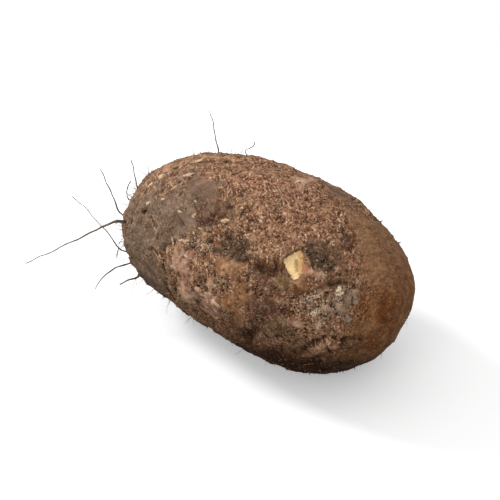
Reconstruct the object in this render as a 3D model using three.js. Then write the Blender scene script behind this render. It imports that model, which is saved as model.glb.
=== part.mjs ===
// A yam tuber lying on its side, with the dried feeder roots that grow from its skin.
// Millimetres, +Z up. The long axis runs along X, with the head, where the vine grew, at -X and
// the tail at +X. The origin is the middle of the flat patch that the tuber lies on.

import * as THREE from "three";
import { ParametricGeometry } from "three/addons/geometries/ParametricGeometry.js";
import { mergeVertices } from "three/addons/utils/BufferGeometryUtils.js";

// The tuber's form
const tuberLength = 178;
const tuberWidth = 104;
const tuberHeight = 93; // before the flat patch is pressed in
const headBluntness = 3.4; // 2 gives an ellipse, and more gives a squarer end
const tailBluntness = 2.5;
const tailSwell = 0.07; // how much fatter the tail end is than the middle, as a share
const sideBow = 8; // how far the middle stands out to +Y of the two ends
const restDepth = 1.6; // how deep the flat patch is pressed in
const restMiddle = new THREE.Vector2(7, 8); // the patch's middle, measured from the form's own centre

// Broad rises and hollows of the skin. Each is centred on a spot of the form, given by how far
// along it lies (-1 at the head, 1 at the tail) and its turn in degrees (0 faces +Y, 90 is the top).
const swellings = [
  { along: 0.44, turn: 39, rise: -2.2, spread: 26 }, // straight back edge of the top
  { along: -0.3, turn: 216, rise: -1.2, spread: 22 }, // flattened lower front
  { along: 0.2, turn: 133, rise: -1.6, spread: 11 }, // hollow on the upper front
  { along: 0.24, turn: 164, rise: 1.5, spread: 12 }, // rise on the front
  { along: 0.74, turn: 140, rise: -1.2, spread: 10 }, // hollow beside the tail
  { along: 0.9, turn: 92, rise: 1.2, spread: 16 }, // brow of the tail
  { along: 0.88, turn: 285, rise: -2.2, spread: 18 }, // flattened underside of the tail
  { along: -0.45, turn: 112, rise: 0.8, spread: 12 }, // shoulder of the head
  { along: -0.1, turn: 345, rise: 1.8, spread: 20 }, // rise on the back
  { along: 0.3, turn: 10, rise: -1.8, spread: 16 }, // hollow on the back
  { along: -0.97, turn: 60, rise: 2.6, spread: 8 }, // crown, where the vine was attached
];

// Feeder roots. Each leaves the skin at a spot (along and turn, as above) and passes through its
// bends, which are steps from that spot. base and tip are its radius at the skin and at its end.
const roots = [
  {
    name: "root_long",
    spot: { along: -0.78, turn: 162 },
    bends: [[-4, -3, 0], [-10, -11, -4], [-18, -22, -10], [-27, -34, -17], [-34, -43, -22]],
    base: 1.5,
    tip: 0.3,
  },
  {
    name: "root_kinked",
    spot: { along: -0.88, turn: 162 },
    bends: [[-4, -1, 2], [-7, 0, 6], [-12, 1, 10], [-16, 2, 14], [-23, 3, 20]],
    base: 0.9,
    tip: 0.35,
  },
  {
    name: "root_thin",
    spot: { along: -0.75, turn: 190 },
    bends: [[-4, -2, 1], [-12, -2, 7], [-21, -3, 12], [-28, -4, 17], [-37, -6, 22]],
    base: 0.6,
    tip: 0.25,
  },
  {
    name: "root_hanging",
    spot: { along: -0.77, turn: 181 },
    bends: [[-2, -2, 0], [-1, -4, -3], [1, -7, -8]],
    base: 0.6,
    tip: 0.3,
  },
  {
    name: "root_brow_tall",
    spot: { along: -0.8, turn: 131 },
    bends: [[-4, 1, 4], [-9, 4, 9], [-12, 5, 13]],
    base: 0.8,
    tip: 0.35,
  },
  {
    name: "root_brow_short",
    spot: { along: -0.85, turn: 143 },
    bends: [[-3, 0, 4], [-2, 3, 11]],
    base: 0.6,
    tip: 0.3,
  },
  {
    name: "root_low_curved",
    spot: { along: -0.76, turn: 205 },
    bends: [[-4, -4, -2], [-6, -6, -3], [-9, -11, -7], [-11, -15, -11], [-11, -17, -15]],
    base: 0.9,
    tip: 0.35,
  },
  {
    name: "root_low_stub",
    spot: { along: -0.68, turn: 211 },
    bends: [[-1, -4, -1], [-5, -11, -3]],
    base: 1.1,
    tip: 0.6,
  },
  {
    name: "root_top_tall",
    spot: { along: -0.52, turn: 80 },
    bends: [[-2, 1, 5], [-5, 2, 10], [-9, 4, 15], [-14, 6, 20]],
    base: 0.7,
    tip: 0.25,
  },
  {
    name: "root_top_hooked",
    spot: { along: -0.34, turn: 76 },
    bends: [[-2, 0, 4], [1, 4, 6], [1, 5, 9]],
    base: 0.7,
    tip: 0.4,
  },
  {
    name: "root_crown_upper",
    spot: { along: -0.94, turn: 42 },
    bends: [[-5, 4, 0], [-9, 7, -5], [-15, 8, -9], [-18, 13, -16]],
    base: 1.1,
    tip: 0.35,
  },
  {
    name: "root_crown_side",
    spot: { along: -0.93, turn: 8 },
    bends: [[-5, 4, 0], [-12, 9, -3], [-17, 16, -3], [-24, 19, -8]],
    base: 1.2,
    tip: 0.35,
  },
  {
    name: "root_crown_low",
    spot: { along: -0.96, turn: 290 },
    bends: [[-5, 1, -3], [-10, 1, -9], [-18, -2, -13]],
    base: 0.9,
    tip: 0.3,
  },
  {
    name: "root_back_upper",
    spot: { along: -0.62, turn: 24 },
    bends: [[-1, 5, 1], [-5, 9, 0], [-5, 15, 3]],
    base: 0.8,
    tip: 0.3,
  },
  {
    name: "root_back_long",
    spot: { along: -0.5, turn: 355 },
    bends: [[-1, 7, 0], [0, 15, -3], [-5, 24, -4], [-8, 32, -9]],
    base: 1.1,
    tip: 0.3,
  },
  {
    name: "root_back_low",
    spot: { along: -0.15, turn: 330 },
    bends: [[1, 5, -3], [4, 9, -8], [4, 14, -12]],
    base: 0.8,
    tip: 0.3,
  },
  {
    name: "root_back_middle",
    spot: { along: 0.12, turn: 5 },
    bends: [[0, 5, 1], [3, 8, 0], [2, 12, 2]],
    base: 0.7,
    tip: 0.35,
  },
  {
    name: "root_back_tail",
    spot: { along: 0.5, turn: 350 },
    bends: [[1, 5, 0], [-1, 9, -1]],
    base: 0.8,
    tip: 0.4,
  },
];
const rootGap = 0.3; // between a root's flat end and the skin
const rootRise = 1.2; // the length that a root stands straight out of the skin
const rootTaper = 2.6; // how quickly a root thins as it leaves the skin

const aroundTuber = 60;
const alongTuber = 44;
const aroundRoot = 7;
const alongRoot = 13;

const skin = { color: 0x7a5c47, roughness: 0.92, metalness: 0 };
const rootBark = { color: 0x4a3a2c, roughness: 0.85, metalness: 0 };

// The even form: a rounded bar whose half-width falls from the middle to a point at each end
function evenPoint(along, turn) {
  const bluntness = along < 0 ? headBluntness : tailBluntness;
  const fullness = Math.sqrt(Math.max(0, 1 - Math.abs(along) ** bluntness));
  const reach = fullness * (1 + tailSwell * along);
  return new THREE.Vector3(
    (along * tuberLength) / 2,
    (reach * Math.cos(turn) * tuberWidth) / 2 + bowAt(along),
    (reach * Math.sin(turn) * tuberHeight) / 2,
  );
}

function bowAt(along) {
  return sideBow * (1 - along ** 2);
}

// The way out of the skin, taken from the ellipsoid that has the tuber's three sizes
function outwardAt(point, along) {
  return new THREE.Vector3(
    point.x / tuberLength ** 2,
    (point.y - bowAt(along)) / tuberWidth ** 2,
    point.z / tuberHeight ** 2,
  ).normalize();
}

// The even form with its rises and hollows, each a bell curve of the distance from its middle
function skinPoint(along, turn) {
  const point = evenPoint(along, turn);
  const rise = swellings.reduce((sum, swelling) => {
    const middle = evenPoint(swelling.along, THREE.MathUtils.degToRad(swelling.turn));
    const distance = point.distanceTo(middle) / swelling.spread;
    return sum + swelling.rise * Math.exp(-0.5 * distance ** 2);
  }, 0);
  return point.addScaledVector(outwardAt(point, along), rise);
}

// v runs from the head to the tail, closer together near the two ends
function gridPoint(u, v) {
  return skinPoint(-Math.cos(Math.PI * v), 2 * Math.PI * u);
}

function lowestHeight() {
  let lowest = Infinity;
  for (let i = 0; i <= alongTuber; i++)
    for (let j = 0; j < aroundTuber; j++)
      lowest = Math.min(lowest, gridPoint(j / aroundTuber, i / alongTuber).z);
  return lowest;
}

const floorHeight = lowestHeight() + restDepth;

// Moves a point of the form into the part's frame and presses in the flat patch
function placed(point) {
  return new THREE.Vector3(
    point.x - restMiddle.x,
    point.y - restMiddle.y,
    Math.max(0, point.z - floorHeight),
  );
}

// Joins the doubled vertices at a grid's seam and poles, and drops the triangles this empties
function closed(geometry) {
  geometry.deleteAttribute("normal");
  geometry.deleteAttribute("uv");
  const merged = mergeVertices(geometry, 1e-3);
  const corners = merged.index.array;
  const kept = [];
  for (let i = 0; i < corners.length; i += 3) {
    const [a, b, c] = corners.slice(i, i + 3);
    if (a !== b && b !== c && c !== a) kept.push(a, b, c);
  }
  merged.setIndex(kept);
  merged.computeVertexNormals();
  return merged;
}

function makeTuber() {
  const surface = (u, v, target) => target.copy(placed(gridPoint(u, v)));
  const geometry = closed(new ParametricGeometry(surface, aroundTuber, alongTuber));
  const tuber = new THREE.Mesh(geometry, new THREE.MeshStandardMaterial(skin));
  tuber.name = "tuber";
  return tuber;
}

// A root is a round tube along a smooth curve. It is thickest at the skin, and both ends are flat.
function makeRoot({ name, spot, bends, base, tip }) {
  const along = spot.along;
  const onSkin = skinPoint(along, THREE.MathUtils.degToRad(spot.turn));
  const outward = outwardAt(onSkin, along);
  const start = placed(onSkin);
  const path = new THREE.CatmullRomCurve3([
    start.clone().addScaledVector(outward, rootGap),
    start.clone().addScaledVector(outward, rootGap + rootRise),
    ...bends.map((step) => start.clone().add(new THREE.Vector3(...step))),
  ]);
  const rings = alongRoot - 2; // the first and last rows of the grid close the two ends
  const frames = path.computeFrenetFrames(rings);
  const surface = (u, v, target) => {
    const row = Math.round(v * alongRoot);
    const ring = THREE.MathUtils.clamp(row - 1, 0, rings);
    const share = ring / rings;
    const radius = row === 0 || row === alongRoot ? 0 : tip + (base - tip) * (1 - share) ** rootTaper;
    const angle = 2 * Math.PI * u;
    path.getPointAt(share, target);
    target.addScaledVector(frames.normals[ring], radius * Math.cos(angle));
    target.addScaledVector(frames.binormals[ring], radius * Math.sin(angle));
  };
  const geometry = closed(new ParametricGeometry(surface, aroundRoot, alongRoot));
  const root = new THREE.Mesh(geometry, new THREE.MeshStandardMaterial(rootBark));
  root.name = name;
  return root;
}

const yam = new THREE.Group();
yam.add(makeTuber(), ...roots.map(makeRoot));

export default yam;
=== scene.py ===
import functools
import itertools
import math

import bmesh
import bpy
import numpy as np
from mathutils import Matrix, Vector


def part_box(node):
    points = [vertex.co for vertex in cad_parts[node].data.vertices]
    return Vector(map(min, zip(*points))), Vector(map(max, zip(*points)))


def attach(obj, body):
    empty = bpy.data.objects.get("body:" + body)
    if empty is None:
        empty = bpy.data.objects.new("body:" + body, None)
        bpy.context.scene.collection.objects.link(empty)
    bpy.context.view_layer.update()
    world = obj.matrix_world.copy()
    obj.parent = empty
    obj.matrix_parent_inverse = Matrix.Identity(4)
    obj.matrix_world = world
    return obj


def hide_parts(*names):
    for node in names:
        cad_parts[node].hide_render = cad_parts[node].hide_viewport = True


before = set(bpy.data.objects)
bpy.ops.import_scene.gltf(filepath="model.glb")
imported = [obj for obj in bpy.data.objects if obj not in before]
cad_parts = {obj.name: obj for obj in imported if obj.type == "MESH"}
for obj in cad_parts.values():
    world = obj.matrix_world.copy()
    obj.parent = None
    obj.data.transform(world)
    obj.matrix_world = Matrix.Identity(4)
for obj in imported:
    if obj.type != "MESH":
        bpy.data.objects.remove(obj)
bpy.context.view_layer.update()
mm = 0.001
world = bpy.context.scene.world or bpy.data.worlds.new("studioAir")
bpy.context.scene.world = world
print("frame loaded:", len(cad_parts), "CAD nodes")


def linearColour(hexCode, alpha=1.0):
    # sRGB hex to the linear values that a shader socket takes
    parts = [int(hexCode[i:i + 2], 16) / 255 for i in (1, 3, 5)]
    return [c / 12.92 if c <= 0.04045 else ((c + 0.055) / 1.055) ** 2.4 for c in parts] + [alpha]


def addNode(tree, kind, inputs=(), output=0, **settings):
    # adds one node, sets its options, fills its inputs in order or by name with values or with
    # other nodes' outputs, and gives back one of its own outputs
    made = tree.nodes.new("ShaderNode" + kind)
    for name, value in settings.items():
        setattr(made, name, value)
    for key, value in inputs.items() if isinstance(inputs, dict) else enumerate(inputs):
        if isinstance(value, bpy.types.NodeSocket):
            tree.links.new(value, made.inputs[key])
        else:
            made.inputs[key].default_value = value
    return made.outputs[output] if made.outputs else made


def makePiece(name, points, faceSets, fields=None):
    # one mesh object from whole arrays: places, then corner numbers for triangles and quads, and
    # any numbers that the materials read at each point
    mesh = bpy.data.meshes.new(name)
    corners = np.concatenate([faces.ravel() for faces in faceSets])
    sizes = np.concatenate([np.full(len(faces), faces.shape[1]) for faces in faceSets])
    mesh.vertices.add(len(points))
    mesh.vertices.foreach_set("co", points.astype(np.float32).ravel())
    mesh.loops.add(len(corners))
    mesh.loops.foreach_set("vertex_index", corners.astype(np.int32))
    mesh.polygons.add(len(sizes))
    mesh.polygons.foreach_set("loop_start", (np.cumsum(sizes) - sizes).astype(np.int32))
    mesh.polygons.foreach_set("use_smooth", np.ones(len(sizes), bool))
    for field, values in (fields or {}).items():
        layer = mesh.attributes.new(field, "FLOAT", "POINT")
        layer.data.foreach_set("value", values.astype(np.float32).ravel())
    mesh.update()
    mesh.validate()
    piece = bpy.data.objects.new(name, mesh)
    bpy.context.scene.collection.objects.link(piece)
    return piece


def ease(values, low, high):
    # 0 below low and 1 above high, with a smooth S between them
    share = np.clip((values - low) / (high - low), 0, 1)
    return share * share * (3 - 2 * share)


def unit(vectors):
    return vectors / np.maximum(np.linalg.norm(vectors, axis=-1, keepdims=True), 1e-12)


# the slopes at the noise's lattice corners. This noise makes relief that is real geometry
slopes = unit(np.random.default_rng(11).normal(size=(1024, 3)))


def cornerKeys(cells, seed):
    # mixes a lattice corner's three whole numbers into one from 0 to 1023
    mixed = (cells[..., 0] * 73856093) ^ (cells[..., 1] * 19349663) ^ (cells[..., 2] * 83492791)
    mixed = mixed + seed * 7919
    return (mixed ^ (mixed >> 9) ^ (mixed >> 17)) & 1023


def noise(points, cell, seed):
    # gradient noise, about -1 to 1: every corner of a lattice of that cell size in mm has a slope,
    # and the eight slopes round a point are blended with a quintic ease
    scaled = points / (cell * mm)
    low = np.floor(scaled).astype(np.int64)
    part = scaled - low
    blend = part ** 3 * (part * (part * 6 - 15) + 10)
    total = np.zeros(points.shape[:-1])
    for corner in itertools.product((0, 1), repeat=3):
        step = np.array(corner)
        slope = slopes[cornerKeys(low + step, seed)]
        weight = np.prod(np.where(step == 1, blend, 1 - blend), axis=-1)
        total += weight * ((part - step) * slope).sum(axis=-1)
    return total * 1.7  # brings the range near -1 to 1


def layeredNoise(points, cell, layers, seed):
    # noise summed over octaves: each layer has half the cell and half the height of the last
    return sum(noise(points, cell / 2 ** k, seed + k) / 2 ** k for k in range(layers))


# the tuber's form, taken from the CAD node
tuberForm = {
    "rows": 304,  # from the head pole to the tail pole
    "around": 320,  # points round each row
    "startSize": 1.2,  # ellipsoid that is wrapped down onto the tuber, against its box
    "smoothing": 60,  # passes that take the CAD facets out
}


def wrapOnto(node, points):
    # moves every point to the nearest place on a CAD node
    mesh = bpy.data.meshes.new("probe")
    mesh.vertices.add(points.size // 3)
    mesh.vertices.foreach_set("co", points.astype(np.float32).ravel())
    probe = bpy.data.objects.new("probe", mesh)
    bpy.context.scene.collection.objects.link(probe)
    wrap = probe.modifiers.new("wrap", "SHRINKWRAP")
    wrap.target = node
    wrap.wrap_method = "NEAREST_SURFACEPOINT"
    moved = np.empty(points.size, np.float32)
    probe.evaluated_get(bpy.context.evaluated_depsgraph_get()).data.vertices.foreach_get("co", moved)
    bpy.data.objects.remove(probe)
    bpy.data.meshes.remove(mesh)
    return moved.reshape(points.shape).astype(float)


def tuberGrid():
    # an ellipsoid: the first parameter is the angle from the head pole, 0 to 180 degrees, and the
    # second is the turn about X, 0 to 360. It is wrapped onto the CAD tuber and smoothed, each
    # pass moving a point halfway to the mean of its four neighbours
    low, high = (np.array(corner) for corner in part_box("tuber"))
    polar = np.linspace(0, math.pi, tuberForm["rows"])[:, None]
    turn = np.linspace(0, 2 * math.pi, tuberForm["around"], endpoint=False)[None, :]
    ball = np.stack([
        -np.cos(polar) + 0 * turn,
        np.sin(polar) * np.cos(turn),
        np.sin(polar) * np.sin(turn),
    ], axis=-1)
    start = (low + high) / 2 + ball * (high - low) / 2 * tuberForm["startSize"]
    grid = wrapOnto(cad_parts["tuber"], start)
    for _ in range(tuberForm["smoothing"]):
        sideways = np.roll(grid, 1, axis=1) + np.roll(grid, -1, axis=1)
        mean = (grid[:-2] + grid[2:] + sideways[1:-1]) / 4
        grid[1:-1] = (grid[1:-1] + mean) / 2
        grid[0] = grid[1].mean(axis=0)
        grid[-1] = grid[-2].mean(axis=0)
    return grid


def gridNormals(grid):
    # the cross product of the step round a row and the step down the rows
    roundStep = np.roll(grid, -1, axis=1) - np.roll(grid, 1, axis=1)
    out = np.cross(roundStep, np.gradient(grid, axis=0))
    out[0] = out[1].mean(axis=0)
    out[-1] = out[-2].mean(axis=0)
    return unit(out)


form = tuberGrid()
formOut = gridNormals(form)
formLow, formHigh = (np.array(corner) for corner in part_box("tuber"))
rowMiddle = form.mean(axis=1, keepdims=True)
alongAt = 2 * (form[..., 0] - formLow[0]) / (formHigh[0] - formLow[0]) - 1  # -1 head, 1 tail
turnAt = np.degrees(np.arctan2(form[..., 2] - rowMiddle[..., 2], form[..., 1] - rowMiddle[..., 1])) % 360
print("tuber form wrapped:", form.shape[0] * form.shape[1], "points")


degreesPerHalf = 60  # turn that weighs as much as half the tuber's length


def spotAt(along, turn):
    # row and column of the grid point nearest to a spot. A turn of 0 degrees faces +Y, 90 is the top
    apart = np.abs((turnAt - turn + 180) % 360 - 180)
    return np.unravel_index(np.argmin((alongAt - along) ** 2 + (apart / degreesPerHalf) ** 2), alongAt.shape)


def distanceTo(along, turn):
    # straight distance of every grid point from a spot on the skin, in mm
    return np.linalg.norm(form - form[spotAt(along, turn)], axis=-1) / mm


# what lies where on the skin. Each kind of patch has how far it rises in mm, then its spots. A spot
# is its share along (-1 head, 1 tail), its turn in degrees, half its length and half its width in
# mm, and its slant in degrees
skinPatches = {
    "rosy": (0, [  # reddish bark of the upper side
        (0, 98, 24, 12, 10), (0.42, 104, 16, 8, -10), (-0.05, 350, 18, 10, 0), (0.5, 250, 12, 8, 0),
    ]),
    "ashen": (0, [  # ash-brown bark with a thin coat of soil
        (-0.36, 142, 24, 16, 40), (-0.6, 165, 26, 19, -50), (-0.52, 200, 22, 13, 25), (0.05, 50, 14, 8, 20),
        (0.4, 300, 16, 9, -20), (-0.75, 300, 18, 14, 0), (-0.4, 30, 16, 9, 30), (0.72, 56, 18, 8, -28),
        (-0.7, 20, 26, 20, 20), (-0.3, 350, 14, 8, 40), (0.25, 10, 16, 9, 15),
    ]),
    "dusky": (-0.2, [  # dull grey-brown bark, darker than the rest
        (0.68, 121, 12, 8, -10), (-0.36, 158, 5.5, 3, 15), (0.52, 148, 6, 5, 20), (-0.08, 128, 14, 7, -20),
        (0.785, 134.5, 5.6, 2.6, 45), (0.3, 20, 16, 10, 10), (-0.45, 355, 14, 8, -30),
        (0.2, 285, 22, 12, 10),
    ]),
    "plum": (0, [  # purplish brown bark
        (0.5, 172, 14, 11, -60), (0.43, 165, 8, 6, 0), (0.68, 101, 5, 4, 0), (0.91, 130, 5, 1.8, -60),
        (0.44, 150, 12, 7, 10), (-0.1, 280, 16, 9, 0), (0.35, 10, 12, 7, 0), (-0.13, 136, 8.6, 5.4, 0),
    ]),
    "coarse": (0.2, [  # coarse tan cork
        (0.29, 130, 14, 5.6, 8), (0.1, 115, 12, 6, 10), (-0.1, 60, 16, 8, 0), (0.3, 345, 14, 7, 10),
        (-0.45, 340, 12, 6, 0),
    ]),
    "olive": (0.4, [  # greenish tan bark with scattered grit
        (-0.15, 186, 15, 8, 42), (0.17, 165, 4.2, 2.4, 9), (0.53, 151, 5, 4, 18), (-0.11, 147, 9, 2.9, 15),
        (0.62, 178, 9, 6, 0), (-0.2, 330, 14, 8, 20), (0.65, 20, 10, 6, -20),
    ]),
    "speckle": (0, [  # cream grit
        (0.75, 158, 8.6, 6.8, -42), (-0.13, 154, 12, 3.5, 6), (0.84, 150, 5, 4, 30), (0.15, 5, 12, 6, 0),
        (-0.5, 320, 10, 7, 20), (0.7, 305, 9, 6, 0),
    ]),
    "worn": (0.2, [  # bark worn smooth
        (-0.27, 146, 6.6, 3.6, -5), (-0.31, 121, 9.5, 6.5, -11), (-0.5, 192, 14, 8, 25),
        (-0.8, 165, 11, 6, 80), (0, 52, 9, 5, 20), (0.38, 302, 9, 6, -20), (-0.7, 310, 9, 6, 0),
        (-0.5, 70, 9, 4, 50), (-0.62, 30, 13, 7, 30), (0.3, 60, 12, 6, 10), (-0.85, 350, 9, 6, 60),
    ]),
    "sienna": (0.9, [  # smooth reddish brown spots
        (0.64, 147, 4.6, 3.5, -9), (0.3, 300, 8, 5, 20), (0.72, 340, 6, 4, 30),
    ]),
    "blush": (1, [  # rubbed pinkish ridges, made paler low on the front flank as painted light, for light bounced up onto it
        (-0.19, 168, 11.5, 7, -35), (-0.11, 183, 9, 4.6, -60), (0.07, 184, 9.6, 5.8, 62),
        (-0.05, 182, 5.5, 4, 0), (0.7, 172, 3.6, 1.8, 5), (0.08, 170, 3.6, 2.8, 70),
        (0.13, 74, 9, 4.4, -67), (0.68, 135, 5, 2.6, 26), (-0.67, 115, 5, 2.8, -19), (0.3, 40, 9, 5, 10),
        (-0.3, 350, 8, 5, -30),
    ]),
    "amber": (1.8, [  # smooth orange-brown bark with little cork on it
        (0.2, 155, 9.4, 4.8, 17), (0.275, 173, 10.6, 7.8, 35), (-0.35, 300, 13, 8, 10),
        (0.45, 325, 10, 6, -20),
    ]),
    "ember": (0.2, [  # small orange-red spots
        (-0.69, 112, 3.2, 2.2, 30), (0.6, 153, 1.6, 1.1, 0), (0.8, 113, 3.4, 1.6, 70),
        (0.83, 103, 2.8, 1.4, 70), (0.1, 300, 3, 2, 20),
    ]),
    "rust": (0, [  # the reddest bark, most of it on the tail
        (0.97, 122, 15, 9, 45), (0.98, 208, 9, 6, -30), (0.88, 330, 14, 9, -30),
    ]),
    "umber": (-0.3, [  # dark brown of the lower flank
        (0.93, 184, 5, 3.5, 0), (0.3, 213, 15, 8.8, 37), (0.62, 212, 22, 9, -12), (-0.5, 230, 20, 10, 0),
        (0.2, 320, 16, 9, 0),
    ]),
    "mud": (-0.7, [  # damp dark soil pressed into the bark
        (0.125, 145.2, 11.2, 7, -4), (0.645, 126, 8.2, 4.4, -14), (0.5, 20, 9, 5, 20),
        (-0.2, 20, 9, 6, -10), (0.1, 300, 14, 8, 15), (0.6, 280, 12, 8, 0),
    ]),
    "hollow": (-1.6, [  # dents, painted dark as shade
        (0.43, 147, 8.2, 5, 16), (0.37, 193, 6.4, 4.2, 61), (0.66, 0, 8, 5, 30), (-0.05, 335, 9, 6, 10),
        (-0.62, 151, 2, 1.3, 20), (-0.45, 222, 9, 5, 20),
    ]),
    "crust": (0.9, [  # grey crust of dried soil
        (0.84, 143, 5.4, 4.2, 40), (0.885, 139, 4.2, 3.2, 60), (0.86, 151, 6, 4.2, -60),
        (0.82, 156, 4.6, 3, 0), (0.2, 350, 8, 5, -20), (-0.65, 20, 7, 5, 40),
    ]),
    "cream": (0.3, [  # small cream chips
        (0.71, 153, 4.6, 2.6, 20), (0.762, 161, 3, 2.2, 30), (0.745, 147, 2.6, 1.6, 0),
        (0.83, 141, 3.4, 2.2, -60), (-0.5, 320, 4, 2, 20), (0.7, 345, 3.4, 2, -30),
    ]),
    "rub": (0.25, [  # pale rubbed marks down to the inner bark
        (-0.66, 121, 2.6, 1.7, 20), (-0.61, 108, 2.2, 1.3, 40), (-0.56, 98, 4.6, 1.1, 55),
        (-0.61, 145, 2, 1, 60), (-0.72, 131, 3, 0.9, 70), (-0.48, 115, 3.4, 0.8, 50),
        (-0.49, 128, 3.6, 0.8, 62), (-0.33, 141, 1.6, 0.9, 30), (-0.02, 133, 2.8, 1.4, 20),
        (-0.15, 163, 1.7, 1, 0), (0.02, 161, 1.4, 1, 0), (-0.09, 184, 2.6, 1.6, 60),
        (0.11, 178, 3, 1.8, 60), (-0.02, 178, 2.2, 1.4, 20), (0.15, 181, 2.4, 1.5, 0),
        (-0.22, 139, 2, 1.1, 75), (-0.28, 131, 1.2, 0.9, 0), (-0.055, 163, 1.3, 0.9, 0),
        (-0.25, 173, 1.8, 1, 60), (-0.51, 138, 1.4, 0.8, 20), (0.79, 169, 2.1, 1.6, 80),
        (-0.2, 155, 3.6, 1, 23), (-0.29, 159, 3.6, 0.7, -60), (-0.5, 68, 4, 1.2, 50),
        (-0.2, 10, 3, 1.6, 20), (0.5, 350, 4, 1.6, 60), (-0.6, 345, 3.6, 1.5, 60), (0.1, 30, 3.6, 1.4, 0),
    ]),
}
# lines across the skin: depth or height and width in mm, then the spots they pass through
skinLines = {
    "folds": [  # creases in the bark
        (0.85, 2, [
            (-0.27, 160), (-0.33, 163), (-0.34, 171), (-0.32, 184), (-0.32, 196), (-0.26, 206),
            (-0.25, 222),
        ]),
        (0.6, 0.8, [(-0.5, 172), (-0.42, 170), (-0.35, 172)]),
        (0.6, 0.8, [(-0.69, 157), (-0.61, 148), (-0.53, 152), (-0.45, 156)]),
        (0.6, 0.9, [(0.1, 163), (0.14, 172), (0.1, 179)]),
        (1.1, 1.1, [(0.72, 189), (0.78, 183), (0.83, 178)]),
        (0.7, 1.2, [(0.9, 180), (0.94, 182), (0.97, 187)]),
        (1, 0.7, [(0.77, 144), (0.79, 153)]),
        (0.9, 0.8, [(0.75, 138), (0.785, 135), (0.82, 130)]),
        (0.8, 0.7, [(0.88, 139), (0.9, 146)]),
        (0.8, 0.7, [(0.82, 181), (0.855, 193)]),
        (0.8, 0.7, [(0.87, 177), (0.9, 190)]),
        (0.55, 1.5, [
            (-0.72, 160), (-0.72, 142), (-0.7, 128), (-0.64, 112), (-0.56, 100), (-0.46, 91), (-0.3, 86),
        ]),
        (0.4, 1.2, [(-0.62, 160), (-0.6, 136), (-0.49, 122), (-0.42, 108), (-0.31, 98)]),
        (1, 1.2, [(-0.6, 10), (-0.45, 355), (-0.4, 330), (-0.42, 300)]),
        (1.1, 1.3, [(0.1, 345), (0.3, 330), (0.5, 322), (0.62, 300)]),
        (0.9, 1.1, [(0.2, 30), (0.42, 26), (0.6, 36)]),
    ],
    "rolls": [  # raised rolls of bark
        (1.2, 5.2, [(-0.25, 162), (-0.2, 168), (-0.14, 176), (-0.11, 187), (-0.12, 205)]),
        (1.9, 2.8, [(0.66, 203), (0.75, 193), (0.84, 185), (0.93, 188)]),
        (1, 3.6, [
            (-0.81, 160), (-0.8, 137), (-0.75, 120), (-0.69, 106), (-0.6, 94), (-0.44, 84), (-0.28, 78),
        ]),
        (0.9, 4, [(-0.72, 20), (-0.66, 350), (-0.6, 320)]),
    ],
    "warm": [  # pale warm bands along the raised rolls, partly rubbed bark and partly a painted highlight on the lit ridges, the widest along the shoulder of the head
        (0, 7, [(-0.76, 136), (-0.73, 125), (-0.66, 110), (-0.58, 99), (-0.44, 89), (-0.2, 84), (0.1, 80)]),
        (0, 1.3, [(0.74, 189), (0.83, 190), (0.88, 186), (0.87, 195)]),
        (0, 1, [(0.93, 186), (0.95, 205)]),
        (0, 1.9, [(0.96, 197), (0.985, 207), (0.995, 240)]),
        (0, 0.8, [(0.855, 112), (0.88, 124), (0.893, 136), (0.895, 146)]),
        (0, 0.7, [(0.9, 108), (0.92, 122), (0.925, 134)]),
    ],
    "dots": [  # reddish dots on the tail
        (0, 2.4, [(0.66, 72), (0.84, 70), (0.935, 66), (0.98, 48), (0.997, 60), (0.995, 177), (0.97, 188)]),
    ],
}
# where the smooth tail begins: turn in degrees, then share along
tailStart = [
    (0, 0.66), (60, 0.52), (78, 0.46), (90, 0.66), (106, 0.80), (118, 0.87), (135, 0.91), (172, 0.91),
    (186, 0.87), (240, 0.80), (300, 0.74), (360, 0.66),
]
# how high the painted shade of the underside reaches at a share along, and how strong it is on the back
undersideReach = [(-0.1, -0.40), (0.15, -0.10), (0.45, -0.08), (0.65, 0.06), (0.85, 0.04), (0.98, -0.42)]
undersideBack = 0.55
# a patch's edge: height and cell of its wave, then where it starts to fade and ends, as shares of
# the spot's radius. A spot narrower than `small`, in mm, gets a calmer edge
patchEdge = {"wave": (0.65, 8), "fade": (0.7, 1.3), "small": 4}
lineWander = (1.3, 7)  # how far lines and creases stray, and the cell of that noise, in mm


def localPlace(spot):
    # lengthwise, round-the-tuber and outward distances of every grid point from a spot, in mm
    row, column = spot
    row = min(max(row, 1), form.shape[0] - 2)
    lengthwise = unit(form[row + 1, column] - form[row - 1, column])
    roundWise = np.cross(formOut[row, column], lengthwise)
    apart = (form - form[row, column]) / mm
    return apart @ lengthwise, apart @ roundWise, apart @ formOut[row, column]


def spotRadius(along, turn, halfLength, halfWidth, slant):
    # elliptical distance from a spot's middle: 1 on its edge. The slant turns its length from the
    # tailward direction towards the top
    x, y, out = localPlace(spotAt(along, turn))
    tilt = math.radians(slant)
    across = np.hypot((x * math.cos(tilt) + y * math.sin(tilt)) / halfLength,
                      (y * math.cos(tilt) - x * math.sin(tilt)) / halfWidth)
    return np.where(out < -30, 9.0, across)  # 30 mm down is the tuber's far side


def patchFields(spots, seed):
    # the strongest of a kind's spots, 1 inside and 0 outside a wavy edge, and its smooth rise
    height, cell = patchEdge["wave"]
    wave = height * layeredNoise(form, cell, 4, seed)
    radii = np.array([spotRadius(*spot) for spot in spots])
    calmed = np.array([min(1, spot[3] / patchEdge["small"]) for spot in spots])[:, None, None]
    field = (1 - ease(radii + wave * calmed, *patchEdge["fade"])).max(axis=0)
    return field, np.exp(-radii ** 2 * 1.1).max(axis=0)


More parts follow.
